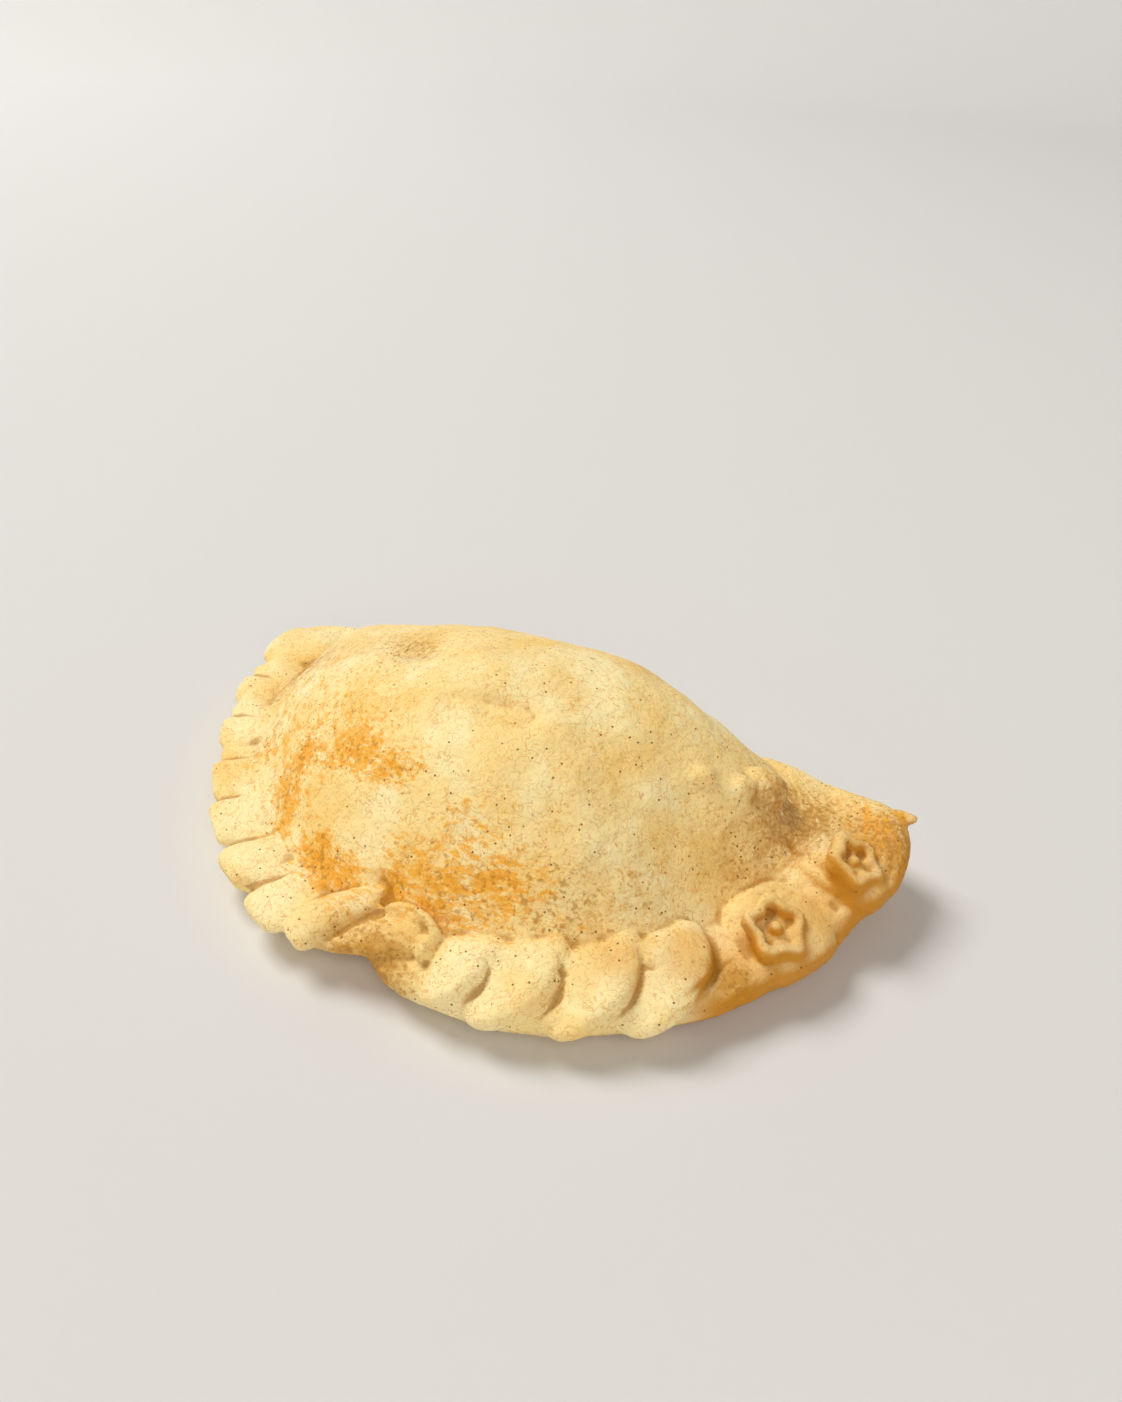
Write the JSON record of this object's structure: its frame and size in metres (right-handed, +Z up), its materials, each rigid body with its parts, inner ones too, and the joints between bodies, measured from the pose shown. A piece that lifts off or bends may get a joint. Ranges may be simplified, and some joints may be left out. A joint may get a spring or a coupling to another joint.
{
  "type": "empanada",
  "caption": "Half-moon baked pastry with a domed filling, scalloped and rope-crimped edge, two pads with raised rosettes and a pointed tip, lying flat.",
  "frame": {"origin": "centre of the pastry's bounding box, on the flat base that it rests on", "axes": "+X along the fold towards the pointed tip, +Y towards the fold, +Z up"},
  "size_m": [0.1428, 0.0852, 0.0377],
  "materials": {
    "crust": "satin golden baked dough with toasted patches and fine specks"
  },
  "bodies": {
    "root": {"pastry": "crust"}
  },
  "joints": []
}
